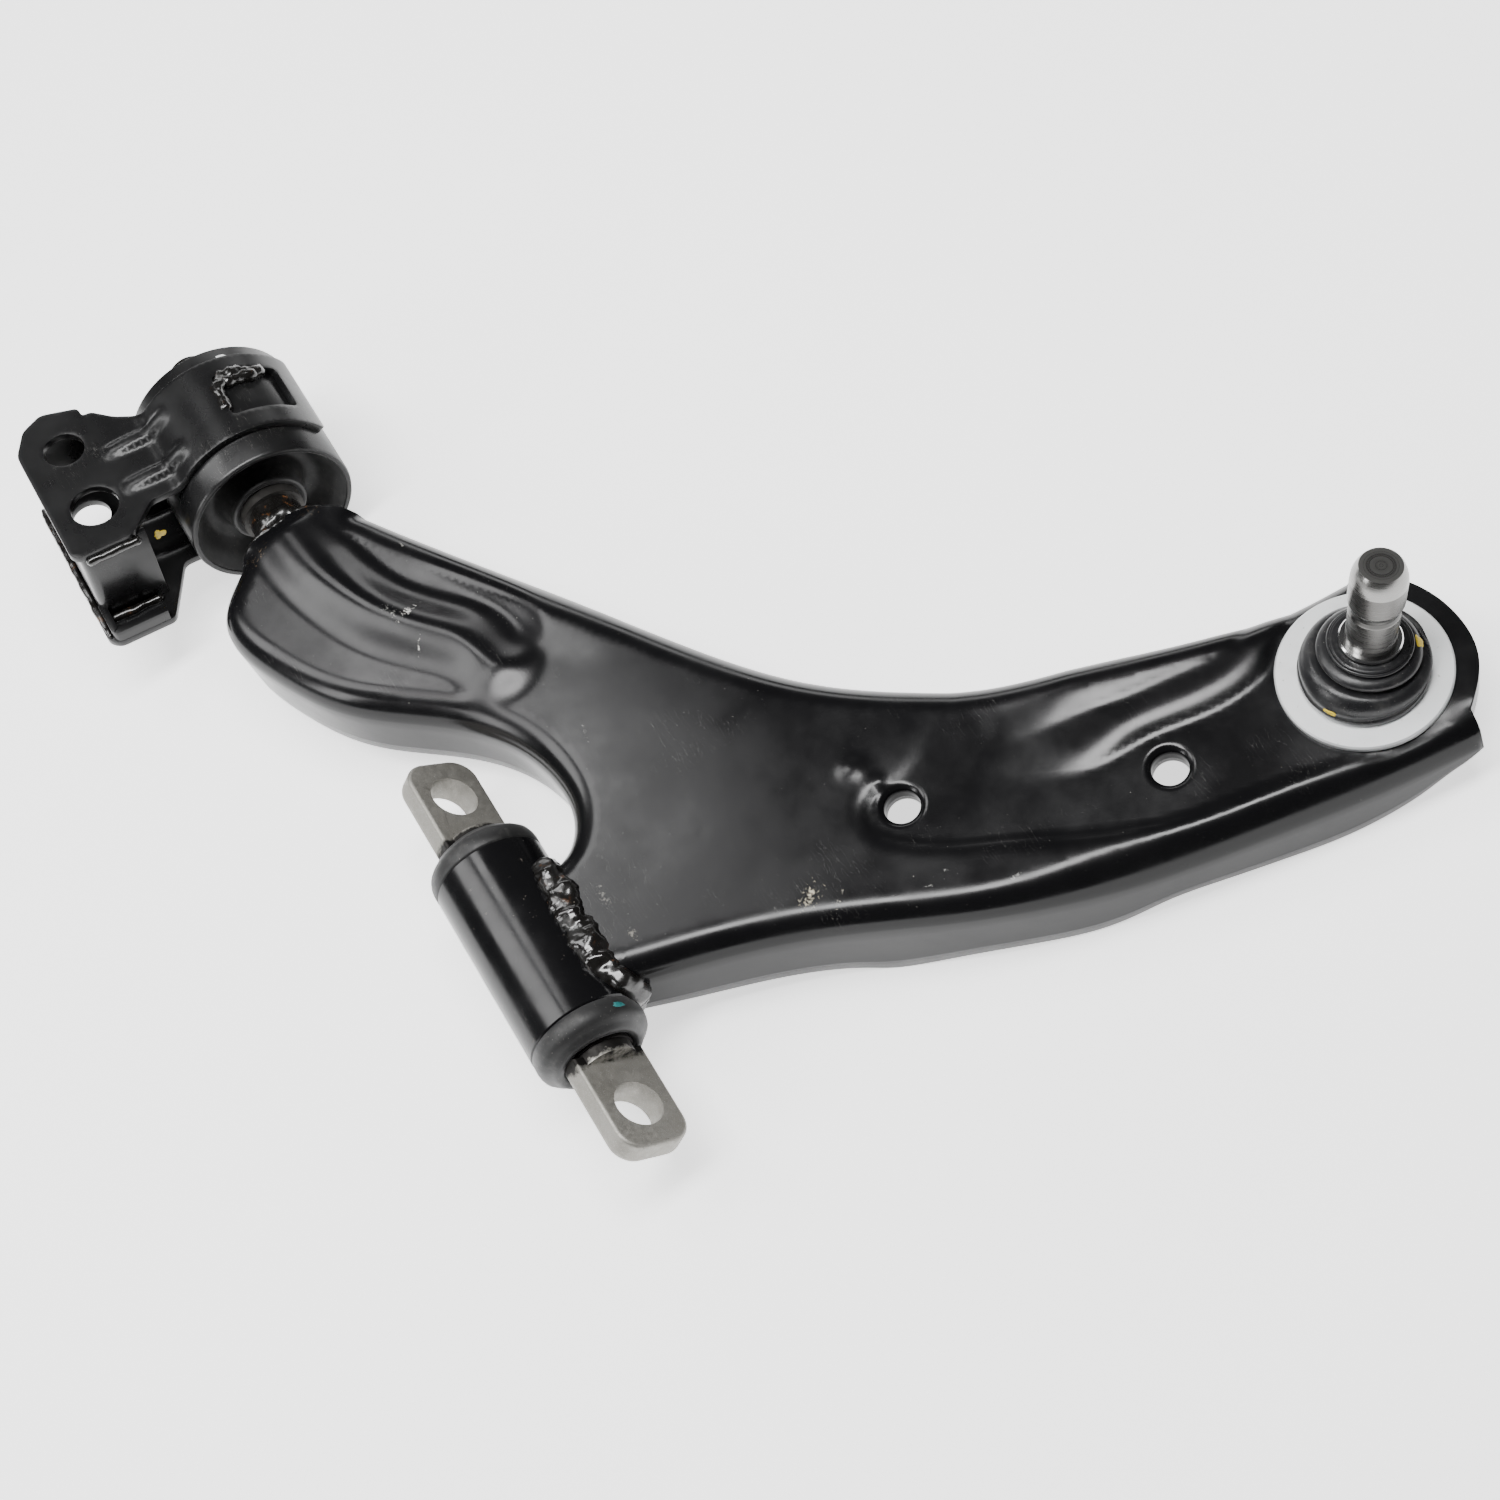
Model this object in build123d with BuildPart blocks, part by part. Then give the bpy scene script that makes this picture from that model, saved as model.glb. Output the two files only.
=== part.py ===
"""Automotive front lower control arm, left side, as a bench assembly.

Row frame, millimetres: the origin is the centre of the front bush, +X runs along the pivot axis
towards the front of the car, +Y towards the ball joint and +Z up, the way the ball stud points.
"""

import os
from math import cos, radians, sin, sqrt

from build123d import *

# ---------------------------------------------------------------- driving dimensions
sheet = 4.0  # arm stamping thickness
arm_top = 15.5  # top of the stamping above the pivot axis
flange_z = -22.0  # lower edge of the deep flanges
tip_flange_z = 2.0  # lower edge of the flanges at the ball joint end
corner_r = 11.0  # outer radius where the web turns into a flange
hole_r = 7.25  # drain and fixture holes in the web
hole_depth = 9.0  # depth of the collar drawn down around each hole
web_holes = [(39.5, 148.0), (87.0, 238.0)]

sleeve_r = 23.5  # front bush sleeve
sleeve_wall = 3.0
sleeve_half = 41.0
rubber_end = 53.0  # outer face of the front rubber

pin_hole_half = 79.0  # bar pin holes stand this far from the bush centre
pin_hole_r = 10.0
pin_roll = -42.6  # the flats of the bar pin lean this far about the pivot axis
pin_width = 32.0
pin_thickness = 12.0
pin_tip = 98.0
pin_core_r = 14.0
bond = 0.05  # glue line between rubber and a part that turns against it

can_front = -255.0  # rear bush housing, front rim
can_back = -323.0
can_r = 37.5
can_wall = 2.6
inner_r = 14.0  # rear bush inner sleeve
rear_pin_r = 9.0
tail_end = -232.0  # where the rear pin leaves the arm

bracket_roll = -12.0  # the rear bracket stands rolled about the pivot axis
plate = 3.5
plate_half = 25.0  # outer faces of the two plates above and below the axis
plate_out = -87.0  # outboard edge of the plates
plate_back = -339.0
plate_front = -256.0
lower_front = -243.0
wrap_back = -314.0
wrap_front = -269.0
bolt_y = -68.0
bolt_front = (-279.0, 10.5)  # X of the hole and its radius
bolt_back = (-315.0, 9.0)

ball_x, ball_y, ball_z = 98.0, 317.5, 11.0  # centre of the ball
ball_r = 14.0
ring_r = 33.0  # clamp flange of the ball joint housing
ring_top = 18.0
body_r = 21.5  # housing barrel that drops through the arm
lean = 10.0  # the stud rests leaning by this angle
lean_heading = 101.5  # in this direction, measured from +X
stud_r = 10.5
neck_r = 9.6
stud_end = 69.0  # stud tip above the ball centre

os.makedirs("parts", exist_ok=True)


def finish_part(builder, name):
    """Label a piece and write its STEP file."""
    builder.part.label = name
    export_step(builder.part, f"parts/{name}.step")


def along_x(start):
    """A plane across the pivot axis at X = start, with +Y to its right and +Z up."""
    return Plane(origin=(start, 0, 0), x_dir=(0, 1, 0), z_dir=(1, 0, 0))


def top_edges(builder, height):
    """Edges of a part that lie flat at one height."""
    return builder.edges().filter_by_position(Axis.Z, height - 0.01, height + 0.01)


bracket_plane = Plane.XY.rotated((bracket_roll, 0, 0))
pin_plane = Plane.XY.rotated((pin_roll, 0, 0))
ball_plane = Plane(origin=(ball_x, ball_y, ball_z))
stud_axis = Vector(
    sin(radians(lean)) * cos(radians(lean_heading)),
    sin(radians(lean)) * sin(radians(lean_heading)),
    cos(radians(lean)),
)
swing_axis = Vector(sin(radians(lean_heading)), -cos(radians(lean_heading)), 0)
stud_plane = Plane(origin=(ball_x, ball_y, ball_z), x_dir=swing_axis, z_dir=stud_axis)


# ---------------------------------------------------------------- arm stamping
# plan view of the stamping at its outer faces, clockwise from the tail
tail_run = [(-229, -24), (-236, 6), (-219, 33)]
back_run = [
    (-179, 56), (-114, 94.5), (-72, 119), (-35, 145), (-7, 174), (15.5, 206), (32, 242), (47, 278), (56, 310),
    (59, 337),
]
seat_run = [(98, 358.5), (133, 339)]
front_run = [(143.5, 337), (138, 300), (130, 262), (116, 205), (96, 152), (62, 90), (35, 19)]
throat_run = [
    (-21, 19), (-25, 30), (-35, 38.5), (-53, 41.5), (-78, 36), (-103, 20), (-138, -15), (-176, -36),
    (-211, -41),
]


def moved_in(ring, depth):
    """The same closed ring of points with each one moved inwards along its local normal."""
    moved = []
    for before, here, after in zip(ring[-1:] + ring[:-1], ring, ring[1:] + ring[:1]):
        arriving = (Vector(*here) - Vector(*before)).normalized()
        leaving = (Vector(*after) - Vector(*here)).normalized()
        along = (arriving + leaving).normalized()
        moved.append(Vector(*here) + Vector(along.Y, -along.X) * (depth / max(along.dot(arriving), 0.6)))
    return moved


def arm_outline(depth=0.0):
    """The plan outline as one sketch, moved inwards by depth: a tail to the rear bush, a throat over
    the front bush and a long blade to the round seat of the ball joint."""
    ring = moved_in(tail_run + back_run + seat_run + front_run + throat_run, depth)
    runs = []
    for run in (tail_run, back_run, seat_run, front_run, throat_run):
        runs.append(ring[: len(run)])
        ring = ring[len(run):]
    tail, back, seat, front, throat = runs
    with BuildSketch() as outline:
        with BuildLine():
            ThreePointArc(*tail)
            Spline(tail[-1], *back)
            ThreePointArc(back[-1], *seat)
            Line(seat[-1], front[0])
            Spline(*front)
            Line(front[-1], throat[0])
            Spline(*throat, tail[0])
        make_face()
    return outline.sketch


# the hollow steps in below the round corner so that the wall there keeps its thickness
step = corner_r - sheet - 2
with BuildPart() as cavity:
    for depth, ceiling in ((sheet, arm_top - sheet - step), (sheet + step, arm_top - sheet)):
        extrude(Pos(0, 0, flange_z - 1) * arm_outline(depth), amount=ceiling - flange_z + 1)

with BuildPart() as arm_stamping:
    with BuildSketch(Plane.XY.offset(flange_z)):
        add(arm_outline())
    extrude(amount=arm_top - flange_z)
    long_edges = top_edges(arm_stamping, arm_top).filter_by(lambda edge: edge.length > 100)
    fillet(long_edges, corner_r)
    add(cavity.part, mode=Mode.SUBTRACT)
    # the flanges get shallower towards the ball joint
    with BuildSketch(Plane.YZ.offset(-400)):
        with BuildLine():
            Polyline(
                (200, flange_z), (285, flange_z + 3), (338, tip_flange_z), (400, tip_flange_z),
                (400, flange_z - 5), (200, flange_z - 5), close=True,
            )
        make_face()
    extrude(amount=600, mode=Mode.SUBTRACT)
    # collars drawn down around the web holes
    with BuildSketch(Plane.XY.offset(arm_top - sheet / 2)):
        with Locations(*web_holes):
            Circle(hole_r + 2.5)
    extrude(amount=-hole_depth + sheet / 2)
    with BuildSketch(Plane.XY.offset(arm_top + 1)):
        with Locations(*web_holes):
            Circle(hole_r)
    extrude(amount=-2 * hole_depth, mode=Mode.SUBTRACT)
    # seat for the ball joint barrel
    with BuildSketch(Plane.XY.offset(arm_top + 1)):
        with Locations((ball_x, ball_y)):
            Circle(body_r)
    extrude(amount=-3 * sheet, mode=Mode.SUBTRACT)
    # the throat fits the round of the front sleeve
    with BuildSketch(along_x(-80)):
        Circle(sleeve_r)
    extrude(amount=160, mode=Mode.SUBTRACT)
    # the tail is notched for the rear pin
    with BuildSketch(along_x(tail_end - 10)):
        Circle(rear_pin_r + 3)
    extrude(amount=46, mode=Mode.SUBTRACT)
finish_part(arm_stamping, "arm_stamping")

# ---------------------------------------------------------------- front bush
with BuildPart() as front_sleeve:
    with BuildSketch(along_x(-sleeve_half)):
        Circle(sleeve_r)
        Circle(sleeve_r - sleeve_wall, mode=Mode.SUBTRACT)
    extrude(amount=2 * sleeve_half)
    chamfer(front_sleeve.edges().filter_by(GeomType.CIRCLE), 0.6)
finish_part(front_sleeve, "front_sleeve")

bond_r = pin_core_r + bond
with BuildPart() as front_bush_rubber:
    with BuildSketch(Plane.XY):
        with BuildLine():
            Polyline(
                (-rubber_end, bond_r), (-rubber_end, 17), (-rubber_end + 4, sleeve_r - 1),
                (-rubber_end + 6, sleeve_r), (-sleeve_half, sleeve_r), (-sleeve_half, sleeve_r - sleeve_wall),
                (sleeve_half, sleeve_r - sleeve_wall), (sleeve_half, sleeve_r), (rubber_end - 6, sleeve_r),
                (rubber_end - 4, sleeve_r - 1), (rubber_end, 17), (rubber_end, bond_r), close=True,
            )
        make_face()
    revolve(axis=Axis.X)
finish_part(front_bush_rubber, "front_bush_rubber")

# forged bar: a round core with two flattened, drilled ends
ear_root = rubber_end + 0.5
with BuildPart() as ears:
    with BuildSketch(pin_plane.offset(-pin_thickness / 2)) as flats:
        with Locations(((ear_root + pin_tip) / 2, 0), (-(ear_root + pin_tip) / 2, 0)):
            Rectangle(pin_tip - ear_root, pin_width)
        corners = flats.vertices().group_by(Axis.X)
        fillet(corners[0] + corners[-1], 10)
    extrude(amount=pin_thickness)
    across = Axis(pin_plane.origin, pin_plane.z_dir)
    ear_faces = ears.faces().filter_by(pin_plane).group_by(across)
    fillet(ear_faces[0].edges(), 4.5)
    fillet(ear_faces[-1].edges(), 1.5)

with BuildPart() as bar_pin:
    with BuildSketch(along_x(-rubber_end)):
        Circle(pin_core_r)
    extrude(amount=2 * rubber_end)
    add(ears.part)
    with BuildSketch(pin_plane.offset(-pin_thickness)):
        with Locations((-pin_hole_half, 0), (pin_hole_half, 0)):
            Circle(pin_hole_r)
    extrude(amount=2 * pin_thickness, mode=Mode.SUBTRACT)
    # round shoulders carry the core onto the flats
    for side in (-1, 1):
        with BuildSketch(along_x(side * rubber_end)):
            Circle(pin_core_r - 1)
        extrude(amount=side * 5)
finish_part(bar_pin, "bar_pin")

# bead over the top of the joint between the sleeve and the stamping
bead_z = arm_top - 3
bead_y = sqrt(sleeve_r**2 - bead_z**2)
with BuildPart() as front_sleeve_weld:
    with BuildSketch(along_x(-20)):
        with Locations((bead_y + 2.5, bead_z + 2.5)):
            Circle(5.0)
    extrude(amount=54)
    with BuildSketch(along_x(-60)):
        Circle(sleeve_r)
    extrude(amount=120, mode=Mode.SUBTRACT)
    add(arm_stamping.part, mode=Mode.SUBTRACT)
finish_part(front_sleeve_weld, "front_sleeve_weld")

# ---------------------------------------------------------------- rear pin and bush
inner_front = can_front + 1  # the inner sleeve stands proud of the rubber
inner_back = can_back - 3
with BuildPart() as rear_pin:
    with BuildSketch(along_x(inner_front)):
        Circle(rear_pin_r + 3)
    extrude(amount=tail_end + 34 - inner_front)
    with BuildSketch(along_x(-352)):
        Circle(rear_pin_r)
    extrude(amount=352 + inner_front)
    chamfer(rear_pin.faces().sort_by(Axis.X)[0].edges(), 1.2)
finish_part(rear_pin, "rear_pin")

with BuildPart() as rear_pin_weld:
    with BuildSketch(Plane.XY):
        with BuildLine():
            collar = rear_pin_r + 3
            Polyline((-246, collar), (-238, collar), (-238, collar + 7), (-243, collar + 5), close=True)
        make_face()
    revolve(axis=Axis.X)
    add(arm_stamping.part, mode=Mode.SUBTRACT)
finish_part(rear_pin_weld, "rear_pin_weld")

with BuildPart() as rear_bush_inner_sleeve:
    with BuildSketch(along_x(inner_back)):
        Circle(inner_r)
        Circle(rear_pin_r, mode=Mode.SUBTRACT)
    extrude(amount=inner_front - inner_back)
finish_part(rear_bush_inner_sleeve, "rear_bush_inner_sleeve")

with BuildPart() as rear_bush_can:
    with BuildSketch(Plane.XY):
        with BuildLine():
            Polyline(
                (can_back, can_r - can_wall), (can_back, can_r), (can_front - 1.5, can_r),
                (can_front, can_r - 1), (can_front, can_r - can_wall), close=True,
            )
        make_face()
    revolve(axis=Axis.X)
finish_part(rear_bush_can, "rear_bush_can")

with BuildPart() as rear_bush_rubber:
    with BuildSketch(Plane.XY):
        with BuildLine():
            wall = can_r - can_wall - bond
            Polyline(
                (can_back + 2, wall), (can_back + 16, 26), (can_back + 14, 18), (can_back + 2, 16),
                (can_back + 2, inner_r), (can_front - 2, inner_r), (can_front - 2, 16),
                (can_front - 15, 19), (can_front - 17, 26), (can_front - 2, wall), close=True,
            )
        make_face()
    revolve(axis=Axis.X)
finish_part(rear_bush_rubber, "rear_bush_rubber")

washer_back = inner_back - 3
with BuildPart() as rear_washer:
    with BuildSketch(along_x(washer_back)):
        Circle(17)
        Circle(rear_pin_r, mode=Mode.SUBTRACT)
    extrude(amount=3)
finish_part(rear_washer, "rear_washer")

with BuildPart() as rear_nut:
    with BuildSketch(along_x(washer_back - 14)):
        RegularPolygon(radius=15.5, side_count=6)
        Circle(rear_pin_r, mode=Mode.SUBTRACT)
    extrude(amount=14)
finish_part(rear_nut, "rear_nut")

# ---------------------------------------------------------------- rear bracket
def across_bracket(start):
    """A plane across the pivot axis at X = start, turned with the bracket."""
    return Plane(origin=(start, 0, 0), x_dir=bracket_plane.y_dir, z_dir=(1, 0, 0))


def wrap_sector(first, last):
    """Section of a strap that wraps the rear bush housing between two angles, in the bracket's frame."""
    with BuildSketch(across_bracket(wrap_back)) as section:
        with BuildLine():
            rim = CenterArc((0, 0), can_r + plate, first, last - first)
            bore = CenterArc((0, 0), can_r, first, last - first)
            Line(rim @ 0, bore @ 0)
            Line(rim @ 1, bore @ 1)
        make_face()
    return section.sketch


def bolt_holes():
    """Both bolt holes, as one sketch below the bracket."""
    with BuildSketch(bracket_plane.offset(-60)) as holes:
        for place, radius in (bolt_front, bolt_back):
            with Locations((place, bolt_y)):
                Circle(radius)
    return holes.sketch


def rear_edge():
    """Outline of a plate's notched rear edge, from its outboard corner to the strap."""
    return [
        (-322, plate_out), (-334, -80), (plate_back, -70), (-334, -54), (-329, -54), (-329, -50),
        (-321, -42), (wrap_back, -34), (wrap_back, -meet),
    ]


# where a plate runs into the strap's outer round
meet = sqrt((can_r + plate) ** 2 - plate_half**2) - 4
window_plane = Plane(
    origin=(-292, 0, 0), x_dir=(1, 0, 0), z_dir=(0, cos(radians(57)), sin(radians(57)))
)

with BuildPart() as bracket_upper:
    with BuildSketch(bracket_plane.offset(plate_half - plate)):
        with BuildLine():
            Polyline(
                (plate_front, plate_out + 3), (plate_front - 3, plate_out), *rear_edge(),
                (wrap_front, -meet), (wrap_front, -46), (plate_front, -60), close=True,
            )
        make_face()
    extrude(amount=plate)
    extrude(wrap_sector(30, 147), amount=wrap_front - wrap_back, dir=(1, 0, 0))
    # swages stiffen the bend between the plate and the strap
    for rib_x in (-303, -281):
        with BuildSketch(across_bracket(rib_x - 4)):
            with BuildLine():
                Polyline(
                    (-meet - 15, plate_half - 1), (-meet + 10, 36), (-meet + 10, plate_half - 1), close=True,
                )
            make_face()
        extrude(amount=8)
    with BuildSketch(along_x(-340)):
        Circle(can_r)
    extrude(amount=100, mode=Mode.SUBTRACT)
    extrude(bolt_holes(), amount=120, dir=bracket_plane.z_dir, mode=Mode.SUBTRACT)
    # window for the weld that ties the strap to the housing
    with BuildSketch(window_plane.offset(can_r - 12)):
        RectangleRounded(24, 26, 3)
    extrude(amount=30, mode=Mode.SUBTRACT)
finish_part(bracket_upper, "bracket_upper")

lip_height = 7.0
with BuildPart() as bracket_lower:
    with BuildSketch(bracket_plane.offset(-plate_half)):
        with BuildLine():
            Polyline(
                (lower_front, plate_out + 4), (lower_front - 4, plate_out), *rear_edge(),
                (wrap_front, -meet), (wrap_front, -42), (lower_front, -57), close=True,
            )
        make_face()
    extrude(amount=plate)
    extrude(wrap_sector(-147, -40), amount=wrap_front - wrap_back, dir=(1, 0, 0))
    # upturned lip along the front edge
    with BuildSketch(bracket_plane.offset(-plate_half)):
        with Locations((lower_front - plate / 2, (plate_out - 57) / 2 + 1)):
            Rectangle(plate, 24)
    extrude(amount=plate + lip_height)
    with BuildSketch(along_x(-340)):
        Circle(can_r)
    extrude(amount=100, mode=Mode.SUBTRACT)
    extrude(bolt_holes(), amount=120, dir=bracket_plane.z_dir, mode=Mode.SUBTRACT)
finish_part(bracket_lower, "bracket_lower")

# folded channel that holds the plates apart around the bolts
spacer_wall = 3.0
spacer_ends = (-331.0, plate_front - 1.5)
spacer_sides = (-84.0, -54.0)
with BuildPart() as bracket_spacer:
    with BuildSketch(bracket_plane.offset(-plate_half + plate)):
        length = spacer_ends[1] - spacer_ends[0]
        width = spacer_sides[1] - spacer_sides[0]
        with Locations(((spacer_ends[0] + spacer_ends[1]) / 2, (spacer_sides[0] + spacer_sides[1]) / 2)):
            Rectangle(length, width)
            with Locations((0, spacer_wall)):
                Rectangle(length - 2 * spacer_wall, width, mode=Mode.SUBTRACT)
    extrude(amount=2 * (plate_half - plate))
finish_part(bracket_spacer, "bracket_spacer")

# ---------------------------------------------------------------- bracket welds
with BuildPart() as strap_plug_weld:
    with BuildSketch(window_plane.offset(can_r - 12)):
        with Locations((-8.5, 0)):
            Rectangle(5, 24)
        with Locations((-3, 9)):
            Rectangle(16, 6)
    extrude(amount=14.5)
    with BuildSketch(along_x(-340)):
        Circle(can_r)
    extrude(amount=100, mode=Mode.SUBTRACT)
finish_part(strap_plug_weld, "strap_plug_weld")

with BuildPart() as bracket_edge_welds:
    for level, sign in ((plate_half - plate, -1), (-plate_half + plate, 1)):
        with BuildSketch(bracket_plane.offset(level)):
            with Locations((spacer_ends[1] + 1.5, -71)):
                Rectangle(3, 24)
        extrude(amount=sign * 3)
finish_part(bracket_edge_welds, "bracket_edge_welds")

# ---------------------------------------------------------------- ball joint
seat_r = 16.5  # bore for the bearing race
mouth_r = 15.3
cover_r = 18.5
ring_h = ring_top - ball_z  # heights below are above the ball centre
shelf_h = arm_top - ball_z
race_low, race_high = -14.4, 5.0
cover_low = race_low - 2.6
barrel_low = -18.0

with BuildPart() as ball_joint_housing:
    with BuildSketch(Plane(origin=ball_plane.origin, x_dir=(1, 0, 0), z_dir=(0, -1, 0))):
        with BuildLine():
            Polyline(
                (mouth_r, ring_h), (ring_r - 0.6, ring_h), (ring_r, ring_h - 0.6), (ring_r, shelf_h),
                (body_r, shelf_h), (body_r, barrel_low + 1), (body_r - 1, barrel_low),
                (cover_r - 2, barrel_low), (cover_r - 2, cover_low), (cover_r, cover_low),
                (cover_r, race_low), (seat_r, race_low), (seat_r, race_high), (mouth_r, race_high),
                close=True,
            )
        make_face()
    revolve(axis=Axis((ball_x, ball_y, 0), (0, 0, 1)))
finish_part(ball_joint_housing, "ball_joint_housing")

with BuildPart() as housing_cover:
    with BuildSketch(ball_plane.offset(cover_low)):
        Circle(cover_r)
    extrude(amount=race_low - cover_low)
finish_part(housing_cover, "housing_cover")

race_r = ball_r + 0.05
with BuildPart() as ball_race:
    with BuildSketch(ball_plane.offset(race_low)):
        Circle(seat_r)
    extrude(amount=race_high - race_low)
    with Locations((ball_x, ball_y, ball_z)):
        Sphere(race_r, mode=Mode.SUBTRACT)
finish_part(ball_race, "ball_race")

collar_low, collar_high, collar_r = 24.6, 26.6, 11.8
groove_low, groove_high = 43.0, 50.0
with BuildPart() as ball_stud:
    with BuildSketch(Plane(origin=ball_plane.origin, x_dir=stud_plane.x_dir, z_dir=-stud_plane.y_dir)):
        with BuildLine():
            throat_h = sqrt(ball_r**2 - 7.5**2)
            foot_h = -11.0
            foot_r = sqrt(ball_r**2 - foot_h**2)
            shank = Polyline(
                (7.5, throat_h), (7.5, 16), (neck_r, 22), (neck_r, groove_low), (9.1, groove_low + 2),
                (9.1, groove_low + 4), (stud_r, groove_high), (stud_r, 61),
            )
            nose = ThreePointArc(shank @ 1, (stud_r - 0.8, 65.5), (8, stud_end))
            Polyline(nose @ 1, (0, stud_end), (0, foot_h), (foot_r, foot_h))
            ThreePointArc((foot_r, foot_h), (ball_r, 0), shank @ 0)
        make_face()
    revolve(axis=Axis((ball_x, ball_y, ball_z), stud_axis))
finish_part(ball_stud, "ball_stud")

with BuildPart() as boot_collar:
    with BuildSketch(stud_plane.offset(collar_low)):
        Circle(collar_r)
        Circle(neck_r + 0.05, mode=Mode.SUBTRACT)
    extrude(amount=collar_high - collar_low)
    chamfer(boot_collar.edges().filter_by(GeomType.CIRCLE).sort_by(SortBy.LENGTH)[-2:], 0.5)
finish_part(boot_collar, "boot_collar")


def bellows(axis_plane, outline):
    """A round solid turned from (radius, height) points about the normal of axis_plane."""
    with BuildPart() as body:
        with BuildSketch(Plane(origin=axis_plane.origin, x_dir=axis_plane.x_dir, z_dir=-axis_plane.y_dir)):
            with BuildLine():
                Polyline(*outline, close=True)
            make_face()
        revolve(axis=Axis(axis_plane.origin, axis_plane.z_dir))
    return body.part


boot_wall = 2.0
boot_foot = ring_h + 0.3
lower_skin = [
    (0, boot_foot), (22, boot_foot), (23.2, boot_foot + 2.5), (22.8, boot_foot + 6), (18, 17), (0, 17),
]
lower_hollow = [
    (0, boot_foot - 1), (22 - boot_wall, boot_foot - 1), (23.2 - boot_wall, boot_foot + 2.5),
    (22.8 - boot_wall, boot_foot + 5), (18 - boot_wall, 15), (0, 15),
]
upper_skin = [(0, 12), (17, 12.5), (18.5, 16), (16.5, 19.5), (16, 24.3), (0, 24.3)]
upper_hollow = [
    (0, 9), (15, 12.5), (16.5, 16), (12, 20.5), (neck_r + 0.05, 22), (neck_r + 0.05, 26), (0, 26),
]
with BuildPart() as boot:
    add(bellows(ball_plane, lower_skin))
    add(bellows(stud_plane, upper_skin))
    add(bellows(ball_plane, lower_hollow), mode=Mode.SUBTRACT)
    add(bellows(stud_plane, upper_hollow), mode=Mode.SUBTRACT)
finish_part(boot, "boot")

with BuildPart() as boot_clip:
    with BuildSketch(ball_plane.offset(ring_h)):
        Circle(24.4)
        Circle(23.4, mode=Mode.SUBTRACT)
    extrude(amount=3)
finish_part(boot_clip, "boot_clip")
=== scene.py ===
"""Looks for the control arm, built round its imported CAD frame.

Lengths here are millimetres unless their name ends in _m. MM turns them into metres.
"""

import math

import bpy
import numpy as np
from mathutils import Matrix, Vector, geometry, noise


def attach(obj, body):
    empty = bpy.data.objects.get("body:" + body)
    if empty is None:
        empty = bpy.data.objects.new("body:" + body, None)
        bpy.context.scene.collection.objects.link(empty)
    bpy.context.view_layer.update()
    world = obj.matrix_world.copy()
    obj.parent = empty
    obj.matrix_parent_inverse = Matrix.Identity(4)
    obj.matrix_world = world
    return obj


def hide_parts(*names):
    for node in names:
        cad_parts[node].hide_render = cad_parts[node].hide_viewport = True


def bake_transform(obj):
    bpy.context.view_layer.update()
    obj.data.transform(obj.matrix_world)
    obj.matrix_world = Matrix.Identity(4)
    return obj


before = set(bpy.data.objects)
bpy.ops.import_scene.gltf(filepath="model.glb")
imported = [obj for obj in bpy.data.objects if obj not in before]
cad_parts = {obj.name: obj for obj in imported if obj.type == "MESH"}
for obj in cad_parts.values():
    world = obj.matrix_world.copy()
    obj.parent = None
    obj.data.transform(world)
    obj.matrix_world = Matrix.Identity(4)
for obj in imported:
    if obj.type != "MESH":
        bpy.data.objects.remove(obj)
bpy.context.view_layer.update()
scene = bpy.context.scene
MM = 0.001


# ---------------------------------------------------------------- small helpers
def piece(name, verts, faces, body=None, material=None, stands_for=()):
    """A smooth mesh from points in millimetres, riding on a CAD body."""
    mesh = bpy.data.meshes.new(name)
    mesh.from_pydata([Vector(v) * MM for v in verts], [], [tuple(int(i) for i in f) for f in faces])
    mesh.validate()
    mesh.shade_smooth()
    obj = bpy.data.objects.new(name, mesh)
    scene.collection.objects.link(obj)
    if material:
        mesh.materials.append(material)
    if stands_for:
        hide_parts(*stands_for)
    if body:
        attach(obj, body)
    return obj


def modifier(obj, kind, **settings):
    added = obj.modifiers.new(kind.lower(), kind)
    for key, value in settings.items():
        setattr(added, key, value)
    return added


def spline(points, step=2.5):
    """Points about one step apart on the natural cubic curve through the given ones."""
    p = np.array(points, float)
    t = np.concatenate([[0], np.cumsum(np.linalg.norm(np.diff(p, axis=0), axis=1))])
    h = np.diff(t)
    n = len(p)
    a, b = np.eye(n), np.zeros_like(p)
    for i in range(1, n - 1):
        a[i, i - 1: i + 2] = h[i - 1], 2 * (h[i - 1] + h[i]), h[i]
        b[i] = 6 * ((p[i + 1] - p[i]) / h[i] - (p[i] - p[i - 1]) / h[i - 1])
    m = np.linalg.solve(a, b)
    s = np.linspace(0, t[-1], max(2, round(t[-1] / step) + 1))
    i = np.clip(np.searchsorted(t, s, side="right") - 1, 0, n - 2)
    u, w, g = (s - t[i])[:, None], (t[i + 1] - s)[:, None], h[i][:, None]
    return (m[i] * w**3 + m[i + 1] * u**3) / (6 * g) + (p[i] / g - m[i] * g / 6) * w + (
        p[i + 1] / g - m[i + 1] * g / 6) * u


def nearest(points, line):
    """How far each point is from a polyline, and which share of its length the nearest place is at."""
    a, ab = line[:-1], np.diff(line, axis=0)
    t = np.clip(np.einsum("pij,ij->pi", points[:, None] - a, ab) / (ab**2).sum(1), 0, 1)
    gap = np.linalg.norm(points[:, None] - (a + t[..., None] * ab), axis=2)
    k = gap.argmin(1)
    rows, lengths = np.arange(len(points)), np.linalg.norm(ab, axis=1)
    start = np.concatenate([[0], np.cumsum(lengths)])
    return gap[rows, k], (start[k] + t[rows, k] * lengths[k]) / start[-1]


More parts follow.
